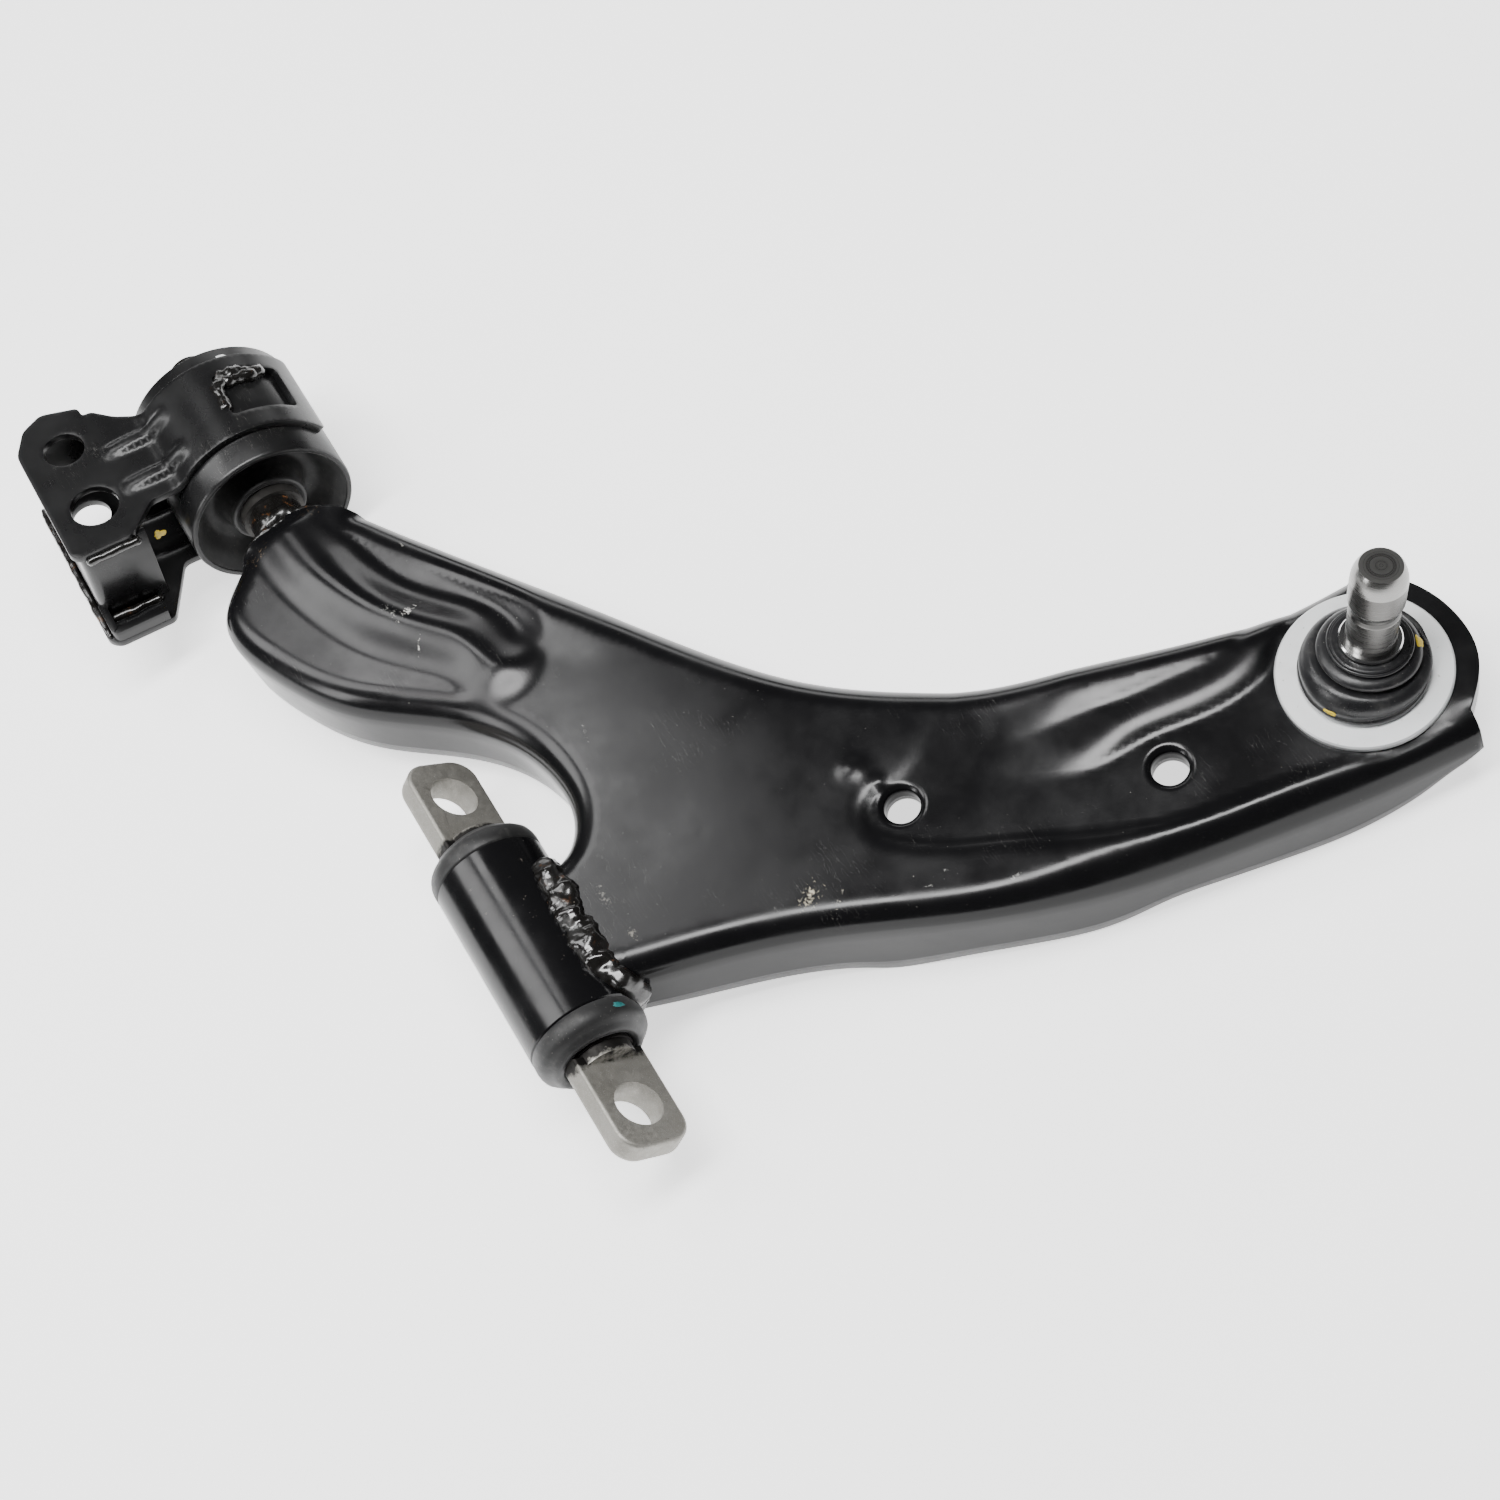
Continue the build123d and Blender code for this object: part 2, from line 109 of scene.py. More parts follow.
def left_of(points, line):
    """Which points lie to the left of an open line, looking along it."""
    a, ab = line[:-1], np.diff(line, axis=0)
    t = np.clip(np.einsum("pij,ij->pi", points[:, None] - a, ab) / (ab**2).sum(1), 0, 1)
    k = np.linalg.norm(points[:, None] - (a + t[..., None] * ab), axis=2).argmin(1)
    gap = points - a[k]
    return ab[k, 0] * gap[:, 1] - ab[k, 1] * gap[:, 0] > 0


def inside(points, ring):
    """Which points lie inside a closed ring."""
    x, y = points[:, :1], points[:, 1:2]
    x1, y1 = ring.T
    x2, y2 = np.roll(ring, -1, axis=0).T
    crossing = ((y1 > y) != (y2 > y)) & (x < (x2 - x1) * (y - y1) / (y2 - y1 + 1e-12) + x1)
    return crossing.sum(1) % 2 == 1


def ease(value, start, end):
    """0 before start, 1 after end, smooth between."""
    t = np.clip((np.asarray(value, float) - start) / (end - start), 0, 1)
    return t * t * (3 - 2 * t)


def shoulder(value, start, end):
    """0 before start with a tight foot, then a round shoulder up to 1 at end."""
    return 1 - (1 - np.clip((np.asarray(value, float) - start) / (end - start), 0, 1)) ** 2


def hump(value, centre, half_width):
    """A smooth bump of height 1."""
    return np.cos(np.clip((np.asarray(value, float) - centre) / half_width, -1, 1) * math.pi / 2) ** 2


def region_depth(points, ring, soft):
    """1 well inside a closed ring, 0 outside, easing over a distance of soft each side of its line."""
    closed = np.vstack([ring, ring[:1]])
    gap = nearest(points, closed)[0] * np.where(inside(points, ring), 1, -1)
    return ease(gap, -soft, soft)


def circle(centre, radius, count):
    angles = np.linspace(0, 2 * math.pi, count, endpoint=False)
    return np.array(centre) + radius * np.column_stack([np.cos(angles), np.sin(angles)])


def moved_in(ring, depth):
    """A closed clockwise ring moved inwards along its normals."""
    along = np.roll(ring, -1, axis=0) - np.roll(ring, 1, axis=0)
    along /= np.linalg.norm(along, axis=1)[:, None]
    return ring + depth * np.column_stack([along[:, 1], -along[:, 0]])


def sheet_faces(outline, holes, extra, spacing, margin):
    """Flat points and triangles for a sheet: its outline, its holes and extra points keep their places,
    and a staggered grid fills the rest."""
    low, high = outline.min(0), outline.max(0)
    rows = np.arange(low[1], high[1], spacing * 0.87)
    grid = np.array([(x + (i % 2) * spacing / 2, y) for i, y in enumerate(rows)
                     for x in np.arange(low[0], high[0], spacing)])
    closed = np.vstack([outline, outline[:1]])
    grid = grid[inside(grid, outline) & (nearest(grid, closed)[0] > margin)]
    for hole in holes:
        grid = grid[~inside(grid, hole) & (nearest(grid, np.vstack([hole, hole[:1]]))[0] > spacing * 0.6)]
    if len(extra):
        grid = grid[np.array([np.min(np.abs(extra - g).sum(1)) for g in grid]) > spacing * 0.6]
        grid = np.vstack([extra, grid])
    points, edges = [outline, *holes, grid], []
    first = 0
    for ring in (outline, *holes):
        edges += [(first + i, first + (i + 1) % len(ring)) for i in range(len(ring))]
        first += len(ring)
    points = np.vstack(points)
    made = geometry.delaunay_2d_cdt([Vector(p) for p in points], edges, [], 0, 1e-5)
    flat, faces = np.array([tuple(v) for v in made[0]]), np.array([tuple(f) for f in made[2]])
    middle = flat[faces].mean(1)
    keep = inside(middle, outline)
    for hole in holes:
        keep &= ~inside(middle, hole)
    return flat, faces[keep], made[3]


def lathe(profile, place, segments=96, closed=False):
    """A turned surface. place(radius, height, angle) gives the point."""
    verts = [place(r, h, 2 * math.pi * k / segments) for r, h in profile for k in range(segments)]
    faces, rows = [], len(profile)
    for i in range(rows if closed else rows - 1):
        a, b = i * segments, (i + 1) % rows * segments
        faces += [(a + k, a + (k + 1) % segments, b + (k + 1) % segments, b + k) for k in range(segments)]
    return verts, faces


def about_x(r, h, angle):
    return (h, r * math.cos(angle), r * math.sin(angle))


def tube(path, radius, lump, seed, sides=14, normal=(0, 0, 1)):
    """A rod along a path whose skin is pushed in and out in lumps, as a weld bead is."""
    path = np.array(path, float)
    along = np.gradient(path, axis=0)
    along /= np.linalg.norm(along, axis=1)[:, None]
    verts, count = [], len(path)
    up = Vector(normal)
    for i, (p, d) in enumerate(zip(path, along)):
        d = Vector(d)
        side = d.cross(up).normalized()
        top = side.cross(d)
        end = math.sqrt(max(0.02, 1 - (2 * i / (count - 1) - 1) ** 12))
        for k in range(sides):
            a = 2 * math.pi * k / sides
            out = side * math.cos(a) + top * math.sin(a)
            q = Vector(p) + out * radius * end
            seat = Vector((seed, -seed, 0))
            shake = noise.noise(q * 0.14 + seat) + 0.45 * noise.noise(q * 0.42 + seat)
            verts.append(q + out * lump * shake)
    faces = []
    for i in range(count - 1):
        a, b = i * sides, (i + 1) * sides
        faces += [(a + k, a + (k + 1) % sides, b + (k + 1) % sides, b + k) for k in range(sides)]
    faces += [tuple(range(sides))[::-1], tuple((count - 1) * sides + k for k in range(sides))]
    return verts, faces


def joined(*parts):
    """Several (verts, faces) pairs as one."""
    verts, faces = [], []
    for v, f in parts:
        faces += [tuple(i + len(verts) for i in face) for face in f]
        verts += [tuple(p) for p in v]
    return verts, faces


# ---------------------------------------------------------------- materials
class Nodes:
    """Short calls for building one material's node tree. Noise scales count per metre."""

    def __init__(self, name, colour, roughness, metallic=0.0, **sockets):
        self.material = bpy.data.materials.new(name)
        self.material.use_nodes = True
        self.tree = self.material.node_tree
        self.shader = self.tree.nodes["Principled BSDF"]
        self.shader.inputs["Base Color"].default_value = (*colour, 1)
        self.shader.inputs["Roughness"].default_value = roughness
        self.shader.inputs["Metallic"].default_value = metallic
        for key, value in sockets.items():
            self.shader.inputs[key.replace("_", " ")].default_value = value
        self.where = self.tree.nodes.new("ShaderNodeTexCoord").outputs["Object"]
        self.colour, self.height = None, None

    def add(self, kind, **inputs):
        node = self.tree.nodes.new("ShaderNode" + kind)
        for key, value in inputs.items():
            socket = node.inputs[key.replace("_", " ")]
            if isinstance(value, bpy.types.NodeSocket):
                self.tree.links.new(value, socket)
            else:
                socket.default_value = value
        return node

    def noise(self, scale, detail=3.0, rough=0.6, where=None):
        place = where or self.where
        return self.add("TexNoise", Vector=place, Scale=scale, Detail=detail, Roughness=rough).outputs[0]

    def stretched(self, scale):
        return self.add("Mapping", Vector=self.where, Scale=scale).outputs[0]

    def range(self, value, low, high, out_low=0.0, out_high=1.0):
        node = self.add("MapRange", Value=value, From_Min=low, From_Max=high, To_Min=out_low, To_Max=out_high)
        return node.outputs[0]

    def math(self, operation, a, b=0.0):
        node = self.tree.nodes.new("ShaderNodeMath")
        node.operation = operation
        for socket, value in zip(node.inputs, (a, b)):
            if isinstance(value, bpy.types.NodeSocket):
                self.tree.links.new(value, socket)
            else:
                socket.default_value = value
        return node.outputs[0]

    def tint(self, share, colour):
        """Lays a colour over what is there so far, where share is 1."""
        mix = self.tree.nodes.new("ShaderNodeMix")
        mix.data_type = "RGBA"
        self.tree.links.new(share, mix.inputs["Factor"])
        if self.colour:
            self.tree.links.new(self.colour, mix.inputs["A"])
        else:
            mix.inputs["A"].default_value = self.shader.inputs["Base Color"].default_value[:]
        mix.inputs["B"].default_value = (*colour, 1)
        self.colour = mix.outputs["Result"]
        self.tree.links.new(self.colour, self.shader.inputs["Base Color"])

    def rough(self, value, low, high):
        """Roughness runs from low to high as value goes from 0.35 to 0.65."""
        self.tree.links.new(self.range(value, 0.35, 0.65, low, high), self.shader.inputs["Roughness"])

    def bump(self, value, depth_m, strength=1.0):
        inputs = dict(Height=value, Distance=depth_m, Strength=strength)
        if self.height:
            inputs["Normal"] = self.height
        self.height = self.add("Bump", **inputs).outputs[0]
        self.tree.links.new(self.height, self.shader.inputs["Normal"])

    def scuff(self, centre, size, turn, amount, colour):
        """A ragged scrape of the given size in millimetres, turned in plan."""
        local = self.tree.nodes.new("ShaderNodeMapping")
        local.vector_type = "TEXTURE"
        self.tree.links.new(self.where, local.inputs["Vector"])
        local.inputs["Location"].default_value = Vector(centre) * MM
        local.inputs["Rotation"].default_value = (0, 0, turn)
        local.inputs["Scale"].default_value = (size[0] * MM, size[1] * MM, 8 * MM)
        gap = self.tree.nodes.new("ShaderNodeVectorMath")
        gap.operation = "LENGTH"
        self.tree.links.new(local.outputs[0], gap.inputs[0])
        ragged = self.math("ADD", gap.outputs["Value"], self.math("MULTIPLY", self.noise(520, 5, 0.8), 6.0))
        self.tint(self.math("MULTIPLY", self.range(ragged, 3.3, 2.9), amount), colour)

    def dull_sides(self, side, top):
        """Less shine where the surface stands upright than where it lies flat."""
        surface = self.tree.nodes.new("ShaderNodeNewGeometry")
        facing = self.add("SeparateXYZ", Vector=surface.outputs["Normal"])
        shine = self.range(self.math("ABSOLUTE", facing.outputs[2]), 0.15, 0.6, side, top)
        self.tree.links.new(shine, self.shader.inputs["Specular IOR Level"])


def dusty_paint(name, colour, low, high, dust=0.5, scratches=0.4):
    """Black dip coat: slight waviness, fingerprints of dull film, pale dust specks and fine scratches."""
    m = Nodes(name, colour, low, Specular_IOR_Level=0.36)
    m.rough(m.noise(34, 4), low, high)
    specks = m.range(m.noise(900, 2, 0.5), 0.75, 0.775)
    film = m.range(m.noise(22, 3), 0.45, 0.7)
    m.tint(m.math("MULTIPLY", m.math("MULTIPLY", specks, film), dust), (0.35, 0.34, 0.31))
    lines = m.noise(60, 2, 0.4, m.stretched((1.0, 9.0, 3.0)))
    scratch = m.math("MULTIPLY", m.range(m.math("ABSOLUTE", m.math("SUBTRACT", lines, 0.5)), 0.0016, 0.0004),
                     m.range(m.noise(28, 1), 0.6, 0.66))
    m.tint(m.math("MULTIPLY", scratch, scratches), (0.25, 0.245, 0.23))
    m.bump(m.noise(210, 2, 0.5), 0.00006, 0.25)
    m.bump(m.noise(26, 2, 0.5), 0.0006, 0.16)
    return m


arm_paint = dusty_paint("arm_paint", (0.0035, 0.0035, 0.004), 0.17, 0.27)
bare, grey, tan, rust = (0.6, 0.59, 0.55), (0.35, 0.35, 0.33), (0.3, 0.29, 0.26), (0.12, 0.085, 0.05)
scuffs = [  # centre, size, turn, amount and colour
    ((-156, 27, 20.5), (2.2, 7.5), 0.4, 0.85, (0.62, 0.61, 0.57)),
    ((-160, 22, 20.5), (6.5, 3.0), 0.3, 0.6, (0.3, 0.3, 0.28)),
    ((-139, 24, 19), (1.0, 4.5), 0.9, 0.8, bare),
    ((-63, 62, 15.5), (4.5, 1.0), -0.2, 0.5, (0.3, 0.3, 0.28)),
    ((-192, 40, 14.5), (2.0, 1.0), 0.6, 0.6, (0.55, 0.54, 0.5)),
    ((52, 100, 17), (4.5, 7.0), 0.6, 1.0, (0.45, 0.41, 0.31)),
    ((60, 107, 14), (2.0, 8.5), 0.5, 0.9, (0.4, 0.38, 0.32)),
    ((91, 167, 16), (1.2, 5.0), 0.2, 0.55, grey),
    ((74, 148, 17), (3.6, 0.9), 0.9, 0.5, grey),
    ((75, 138, 17), (2.6, 0.8), 1.2, 0.5, grey),
    ((-225, -12, 15), (5.0, 8.0), 0.2, 0.45, rust),
    ((-229, 14, 15), (4.0, 8.0), 0.1, 0.45, rust),
    ((4, 34, 15.5), (9.0, 2.4), 0.1, 0.35, tan),
    ((24, 36, 15.5), (5.0, 2.0), 0.3, 0.45, (0.3, 0.28, 0.24)),
]
for scuff in scuffs:
    arm_paint.scuff(*scuff)
arm_paint.dull_sides(0.12, 0.36)

sleeve_paint = dusty_paint("sleeve_paint", (0.004, 0.004, 0.0045), 0.15, 0.27, dust=0.8, scratches=0.9)
chips = sleeve_paint.range(sleeve_paint.noise(190, 5, 0.75), 0.655, 0.7)
sleeve_paint.tint(sleeve_paint.math("MULTIPLY", chips, 0.6), (0.16, 0.14, 0.12))
bracket_paint = dusty_paint("bracket_paint", (0.006, 0.006, 0.0063), 0.24, 0.36, dust=0.6, scratches=0.7)


def bead_material(name, rust):
    m = Nodes(name, (0.006, 0.0055, 0.005), 0.2, Coat_Weight=0.5, Coat_Roughness=0.08)
    m.rough(m.noise(160, 3), 0.14, 0.38)
    patches = m.math("MULTIPLY", m.range(m.noise(210, 5, 0.7), 0.6, 0.68), rust)
    m.tint(patches, (0.13, 0.055, 0.02))
    m.tint(m.math("MULTIPLY", m.range(m.noise(520, 3, 0.7), 0.72, 0.75), 0.35), (0.4, 0.36, 0.3))
    m.bump(m.noise(200, 3, 0.55), 0.0005, 0.35)
    return m.material


weld_black = bead_material("weld_black", 0.35)
weld_rusty = bead_material("weld_rusty", 0.95)


def rubber_material(name, colour, low, high, grain=0.35):
    m = Nodes(name, colour, low, Sheen_Weight=0.1, Sheen_Roughness=0.5, Specular_IOR_Level=0.4)
    m.rough(m.noise(90, 4), low, high)
    m.tint(m.math("MULTIPLY", m.range(m.noise(150, 5, 0.7), 0.52, 0.75), grain), (0.075, 0.073, 0.068))
    m.tint(m.math("MULTIPLY", m.range(m.noise(1300, 2, 0.5), 0.72, 0.76), 0.5), (0.3, 0.29, 0.27))
    m.bump(m.noise(1400, 3, 0.6), 0.00008, 0.5)
    m.bump(m.noise(160, 2, 0.5), 0.0004, 0.2)
    return m.material


bush_rubber = rubber_material("bush_rubber", (0.008, 0.008, 0.0082), 0.4, 0.58)
boot_rubber = rubber_material("boot_rubber", (0.007, 0.007, 0.008), 0.26, 0.42)

forged = Nodes("forged_bar", (0.3, 0.29, 0.265), 0.5, 0.75)
forged.rough(forged.noise(500, 4), 0.44, 0.62)
forged.tint(forged.range(forged.noise(45, 4), 0.35, 0.75), (0.235, 0.225, 0.2))
for specks, colour in ((forged.range(forged.noise(2600, 2), 0.6, 0.68), (0.5, 0.49, 0.46)),
                       (forged.range(forged.noise(240, 4, 0.7), 0.66, 0.72), (0.12, 0.11, 0.1))):
    forged.tint(forged.math("MULTIPLY", specks, 0.6), colour)
# next to the bush the bar is black
split = forged.add("SeparateXYZ", Vector=forged.where)
root = forged.math("ADD", forged.math("ABSOLUTE", split.outputs[0]),
                   forged.math("MULTIPLY", forged.noise(120, 4, 0.7), 0.012))
forged.tint(forged.range(root, 0.0645, 0.0625), (0.012, 0.011, 0.01))
forged.bump(forged.noise(2200, 3), 0.00012, 0.55)
forged.bump(forged.noise(130, 3), 0.0006, 0.25)

# the ball stud was turned, so fine lines run round it
ball = Vector((98.0, 317.5, 11.0))
lean, heading = math.radians(10), math.radians(101.5)
stud_axis = Vector((math.sin(lean) * math.cos(heading), math.sin(lean) * math.sin(heading), math.cos(lean)))
swing_axis = Vector((math.sin(heading), -math.cos(heading), 0))
cross_axis = stud_axis.cross(swing_axis)


def turned_material(name, colour, low, high, highlight_and_shade_zones=()):
    """Turned steel. Each zone is a stretch along the stud, in millimetres, painted to its own grey: a lighter
    zone is a painted highlight, a darker one painted shade.
    """
    m = Nodes(name, colour, low, 1.0)
    frame_turn = Matrix((swing_axis, cross_axis, stud_axis)).transposed().to_euler()
    local = m.tree.nodes.new("ShaderNodeMapping")
    local.vector_type = "TEXTURE"
    m.tree.links.new(m.where, local.inputs["Vector"])
    local.inputs["Location"].default_value = ball * MM
    local.inputs["Rotation"].default_value = frame_turn
    split = m.add("SeparateXYZ", Vector=local.outputs[0])
    radius = m.tree.nodes.new("ShaderNodeVectorMath")
    radius.operation = "LENGTH"
    flat = m.add("CombineXYZ", X=split.outputs[0], Y=split.outputs[1])
    m.tree.links.new(flat.outputs[0], radius.inputs[0])
    line = m.add("CombineXYZ", X=split.outputs[2], Y=radius.outputs["Value"])
    lines = m.noise(1500.0, 3, 0.7, line.outputs[0])
    m.rough(lines, low, high)
    m.tint(m.math("MULTIPLY", m.range(m.noise(70, 4), 0.45, 0.7), 0.35), tuple(c * 0.6 for c in colour))
    blur_m = 1e-4
    # each zone paints its grey over the steel: painted highlight where it is lighter, painted shade where it
    # is darker
    for start, end, zone_grey in highlight_and_shade_zones:
        band = m.math("MULTIPLY", m.range(split.outputs[2], start * MM - blur_m, start * MM + blur_m),
                      m.range(split.outputs[2], end * MM + blur_m, end * MM - blur_m))
        share = m.math("MULTIPLY", band, m.range(lines, 0.3, 0.7, 0.75, 1.0))
        m.tint(share, (zone_grey, zone_grey * 0.99, zone_grey * 0.96))
    m.bump(lines, 0.00002, 0.18)
    return m.material


# painted highlight: the chamfer (61.0 to 68.9) and the end face (68.9 to 72.0) are painted lighter than the
# shank; painted shade: the band at 43.6 to 47.2, at the groove, is painted darker
stud_steel = turned_material("stud_steel", (0.15, 0.147, 0.142), 0.24, 0.34,
                             highlight_and_shade_zones=((43.6, 47.2, 0.08), (61.0, 68.9, 0.3), (68.9, 72.0, 0.3)))
bright_ring = turned_material("bright_ring", (0.8, 0.8, 0.8), 0.08, 0.18)

zinc = Nodes("zinc_ring", (0.66, 0.67, 0.67), 0.42, 0.55)
zinc.rough(zinc.noise(160, 4), 0.38, 0.56)
zinc.tint(zinc.math("MULTIPLY", zinc.range(zinc.noise(330, 3, 0.6), 0.66, 0.72), 0.8), (0.36, 0.36, 0.35))
zinc.tint(zinc.math("MULTIPLY", zinc.range(zinc.noise(18, 3), 0.45, 0.7), 0.35), (0.52, 0.54, 0.56))
zinc.bump(zinc.noise(1500, 2), 0.00008, 0.35)

plated = Nodes("plated_steel", (0.6, 0.6, 0.58), 0.35, 0.35)
plated.rough(plated.noise(200, 4), 0.22, 0.42)
plated.bump(plated.noise(800, 3), 0.0001, 0.3)

plain = Nodes("inner_steel", (0.05, 0.048, 0.045), 0.4, 0.6)
plain.rough(plain.noise(200, 4), 0.3, 0.55)
plain.bump(plain.noise(600, 3), 0.0002, 0.4)

acetal = Nodes("race_plastic", (0.75, 0.73, 0.68), 0.4)
acetal.bump(acetal.noise(300, 3), 0.0001, 0.2)

clip_black = Nodes("clip_black", (0.006, 0.006, 0.007), 0.1, Coat_Weight=0.5)
clip_black.rough(clip_black.noise(120, 3), 0.08, 0.2)
clip_black.bump(clip_black.noise(300, 2), 0.00005, 0.3)


def mark_paint(name, colour):
    m = Nodes(name, colour, 0.45)
    m.tint(m.range(m.noise(900, 4, 0.7), 0.5, 0.68), tuple(c * 0.55 for c in colour))
    m.bump(m.noise(700, 3), 0.0001, 0.4)
    return m.material


yellow_mark = mark_paint("yellow_mark", (0.7, 0.5, 0.015))
teal_mark = mark_paint("teal_mark", (0.02, 0.15, 0.15))
white_mark = mark_paint("white_mark", (0.75, 0.76, 0.76))

dressed = {
    "front_sleeve": sleeve_paint.material, "bar_pin": forged.material, "rear_pin": weld_rusty,
    "rear_bush_inner_sleeve": plain.material, "rear_bush_can": bracket_paint.material,
    "rear_washer": plated.material, "rear_nut": plated.material, "ball_joint_housing": zinc.material,
    "housing_cover": zinc.material, "ball_race": acetal.material, "ball_stud": stud_steel,
    "boot_collar": bright_ring, "boot_clip": clip_black.material,
    "bracket_upper": bracket_paint.material, "bracket_lower": bracket_paint.material,
    "bracket_spacer": bracket_paint.material,
}
for node, material in dressed.items():
    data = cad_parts[node].data
    data.materials.clear()
    data.materials.append(material)

# ---------------------------------------------------------------- arm stamping
skin, arm_top = 3.4, 15.5
hole_r, barrel_r = 7.25, 21.5
web_holes = [(39.5, 148.0), (87.0, 238.0)]
runs = {
    "tail": [(-229, -24), (-236, 6), (-219, 33)],
    "back": [(-219, 33), (-179, 56), (-114, 94.5), (-72, 119), (-35, 145), (-7, 174), (15.5, 206), (32, 242),
             (47, 278), (56, 310), (59, 337)],
    "seat": [(59, 337), (75, 352), (98, 358.5), (118, 354), (133, 339)],
    "notch": [(133, 339), (143.5, 337)],
    "front": [(143.5, 337), (138, 300), (130, 262), (116, 205), (96, 152), (62, 90), (36, 21)],
    "sleeve": [(36, 21), (-22, 21)],
    "throat": [(-22, 21), (-25, 30), (-35, 38.5), (-53, 41.5), (-78, 36), (-103, 20), (-138, -15),
               (-176, -36), (-211, -41), (-229, -24)],
}
edges = {name: spline(points) for name, points in runs.items()}
outline = np.vstack([edges[name][:-1] for name in runs])

bead_crest = spline([(-238, 2), (-212, 3), (-190, 8), (-165, 18), (-142, 34), (-124, 45), (-112, 47)])
pocket = spline([(-226, 14), (-206, 33), (-173, 50), (-143, 64), (-129, 67), (-117, 64), (-112, 56),
                 (-120, 50), (-137, 46), (-152, 36), (-171, 25), (-198, 18), (-226, 14)], 2.0)[:-1]
panel_top = spline([(29, 150), (45, 172), (61, 197), (69, 218), (70, 237), (74, 256), (76, 280), (71, 296),
                    (54, 312)])
panel_low = spline([(29, 150), (29, 140), (38, 133), (56, 142), (76, 171), (95, 201), (111, 239), (118, 268),
                    (123, 285), (130, 307), (134, 325), (140, 352)])
panel = np.vstack([panel_top, [(40, 330), (60, 375), (140, 375)], panel_low[:0:-1]])
terrace = spline([(-20, 122), (14, 150), (36, 183), (45, 207), (48, 225), (52, 239), (56, 261), (58, 285),
                  (44, 305)])


def web_height(p):
    """Height of the stamping's outer face above each plan point."""
    back = nearest(p, edges["back"])[0]
    front = nearest(p, edges["front"])[0]
    throat = nearest(p, edges["throat"])[0]
    off_centre = np.linalg.norm(p - np.array((ball.x, ball.y)), axis=1)
    x, y = p.T
    z = np.full(len(p), arm_top)
    # the blade: a rim and a ridge stand above the sunk panel of the two holes
    outside = nearest(p, np.vstack([panel, panel[:1]]))[0] * np.where(inside(p, panel), -1, 1)
    above, below = nearest(p, panel_top)[0], nearest(p, panel_low)[0]
    on_top = ease(below - above, -6, 6)
    width = 6.0 + on_top * np.interp(y, [180, 215], [8.0, 4.0])
    height = 2.0 + on_top * (np.interp(y, [172, 200, 232], [0.0, 0.7, 2.6]) - 2.0)
    beyond = nearest(p, terrace)[0] * np.where(left_of(p, terrace), 1, -1)
    second = np.interp(y, [190, 228], [0.0, 2.4]) * shoulder(beyond, -1.5, 14)
    level = height * shoulder(outside, -2.0, width) + second * ease(outside, 0, 3)
    z += level * ease(off_centre, 33.3, 38)
    for centre, size, lift in (((16, 141), 8, 1.3), ((26, 146), 4.5, 0.9)):
        z += lift * hump(np.linalg.norm(p - centre, axis=1), 0, size)
    # the tail: a bead runs on from the rear pin with a pocket behind it
    crest, at_crest = nearest(p, bead_crest)
    z += 6.0 * hump(crest, 0, 21) * ease(at_crest, 0, 0.1) * (1 - 0.2 * ease(at_crest, 0.5, 1))
    z -= 3.0 * region_depth(p, pocket, 8.5) * ease(x, -232, -205)
    z += 1.0 * hump(back, 14, 18) * (1 - ease(x, -120, -80))
    for centre in web_holes:
        z -= 1.5 * (1 - ease(np.linalg.norm(p - centre, axis=1), hole_r - 0.3, hole_r + 2.6)) ** 1.5
    round_front = 10.5 + 4.5 * ease(y, 150, 215)
    for gap, r in ((back, 13.0), (front, round_front), (throat, 12.0)):
        z -= r - np.sqrt(r**2 - np.clip(r - gap, 0, r) ** 2)
    return z


def flange_low(p):
    """Height of the flange's lower edge at each point of the outline."""
    y = p[:, 1]
    low = np.interp(y, [-50, 190, 300, 335], [-22.0, -22.0, -15.0, 2.0])
    on_front = nearest(p, edges["front"])[0] < 1
    # (y, height) along the front flange, whose edge waves
    deep = spline([(21, -16), (40, -19.7), (60, -21.5), (92, -23.5), (103, -25.6), (113, -28.6), (124, -27.5),
                   (140, -23.8), (160, -22.5), (189, -23.6), (201, -20.7), (212, -17.2), (236, -17.2),
                   (258, -19.3), (280, -20.2), (295, -18), (313, -11.7), (325, -5), (331, -2.5),
                   (337, 2)], 2.0)
    low = np.where(on_front, np.interp(y, deep[:, 0], deep[:, 1]), low)
    over_pin = (nearest(p, edges["tail"])[0] < 0.5) & (np.abs(y) < 12.5)
    return np.where(over_pin, 11.8, low)


# rings of points follow the outline and the holes closely, where the sheet bends most
depths = (0.35, 1.0, 2.0, 3.3, 5.0, 6.9, 9.0, 11.4)
hole_points = 40
rings = np.vstack([moved_in(outline, d) for d in depths])
depth_kept = np.repeat(depths, len(outline))
near_edge = nearest(rings, np.vstack([outline, outline[:1]]))[0]
rings = rings[inside(rings, outline) & (near_edge > 0.9 * depth_kept)]
holes = [circle(c, hole_r, hole_points) for c in web_holes]
holes.append(circle((ball.x, ball.y), barrel_r + 0.3, 64))
round_holes = np.vstack([circle(c, hole_r + d, hole_points) for c in web_holes for d in (0.5, 1.2, 2.1, 3.3)])
rings = rings[np.all([~inside(rings, h) for h in holes], axis=0)]
flat, faces, origin = sheet_faces(outline, holes, np.vstack([rings, round_holes]), 2.4, 12.6)
height = web_height(flat)
verts = [(x, y, z) for (x, y), z in zip(flat, height)]
faces = [tuple(f) for f in faces]
where_from = {source: i for i, sources in enumerate(origin) for source in sources}


def wall(ring_ids, lower, rows):
    """Drops a wall from a ring of the web's points to the given heights."""
    previous = ring_ids
    for row in range(1, rows + 1):
        current = []
        for i, low in zip(ring_ids, lower):
            x, y, z = verts[i]
            current.append(len(verts))
            verts.append((x, y, z + (low - z) * row / rows))
        for k in range(len(ring_ids)):
            n = (k + 1) % len(ring_ids)
            faces.append((previous[k], previous[n], current[n], current[k]))
        previous = current


